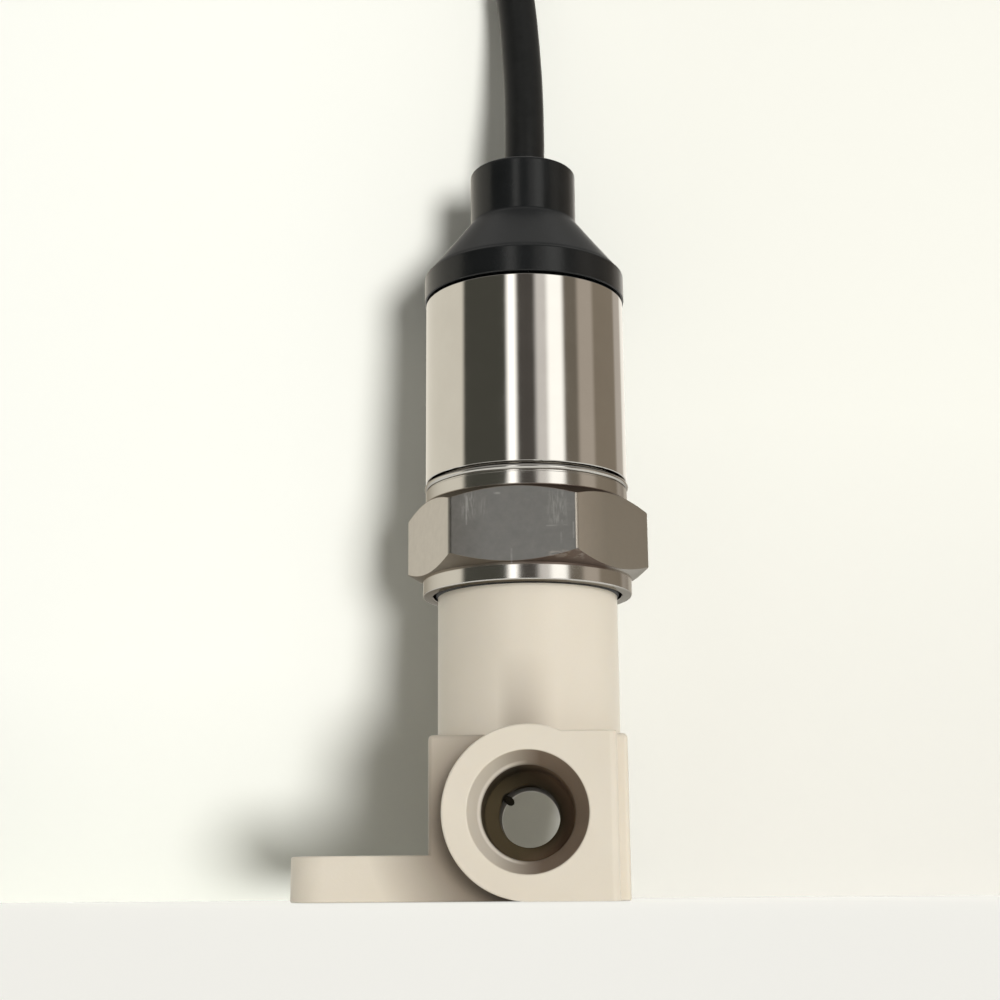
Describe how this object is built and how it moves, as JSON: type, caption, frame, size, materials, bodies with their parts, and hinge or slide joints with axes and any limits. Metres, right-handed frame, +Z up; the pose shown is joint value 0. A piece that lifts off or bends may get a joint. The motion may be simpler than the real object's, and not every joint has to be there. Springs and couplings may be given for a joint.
{
  "type": "pressure transducer",
  "caption": "Upright pressure transducer: moulded flow-through port with a side foot, chamfered steel hex, polished steel housing, black cable boot and a tied cable.",
  "frame": {"origin": "on the sensor's axis, in the flat underside of the port body", "axes": "+Z up along the sensor's axis towards the cable boot; -Y out of the port's mouth; -X along the foot"},
  "size_m": [0.1905, 0.04, 0.1702],
  "materials": {
    "port_plastic": "smooth moulded ivory plastic, satin",
    "milled_steel": "turned and milled stainless steel with light tool marks",
    "polished_steel": "polished stainless steel",
    "black_moulding": "satin black moulding",
    "cable_jacket": "satin dark grey cable jacket",
    "seal_rubber": "matt black rubber",
    "cell_ceramic": "white sintered ceramic",
    "nylon": "natural nylon",
    "tinned_copper": "tinned",
    "board_green": "green solder mask",
    "chip_black": "matt black",
    "capacitor_can": "plain can",
    "trimmer_blue": "blue plastic",
    "red_insulation": "smooth insulation",
    "white_insulation": "smooth insulation",
    "blue_insulation": "smooth insulation"
  },
  "bodies": {
    "root": {"port_body": "port_plastic", "hex_body": "milled_steel", "housing_tube": "polished_steel", "gland_boot": "black_moulding", "neck_seal": "seal_rubber", "media_seal": "seal_rubber", "housing_seal": "seal_rubber", "boot_seal": "seal_rubber", "pressure_cell": "cell_ceramic", "cell_spacer": "nylon", "cell_pin_1": "tinned_copper", "cell_pin_2": "tinned_copper", "cell_pin_3": "tinned_copper", "cell_pin_4": "tinned_copper", "board_carrier": "nylon", "circuit_board": "board_green", "amplifier_chip": "chip_black", "filter_capacitor_a": "capacitor_can", "filter_capacitor_b": "capacitor_can", "zero_trimmer": "trimmer_blue", "span_trimmer": "trimmer_blue", "supply_wire": "red_insulation", "signal_wire": "white_insulation", "ground_wire": "blue_insulation", "cable_clamp": "nylon", "cable_inner_end": "cable_jacket", "cable_run": "cable_jacket", "cable_hank": "cable_jacket", "cable_tail": "cable_jacket", "front_tie": "nylon", "back_tie": "nylon", "end_sleeve": "seal_rubber", "supply_lead": "red_insulation", "signal_lead": "white_insulation", "ground_lead": "blue_insulation", "supply_ferrule": "tinned_copper", "signal_ferrule": "tinned_copper", "ground_ferrule": "tinned_copper"}
  },
  "joints": []
}
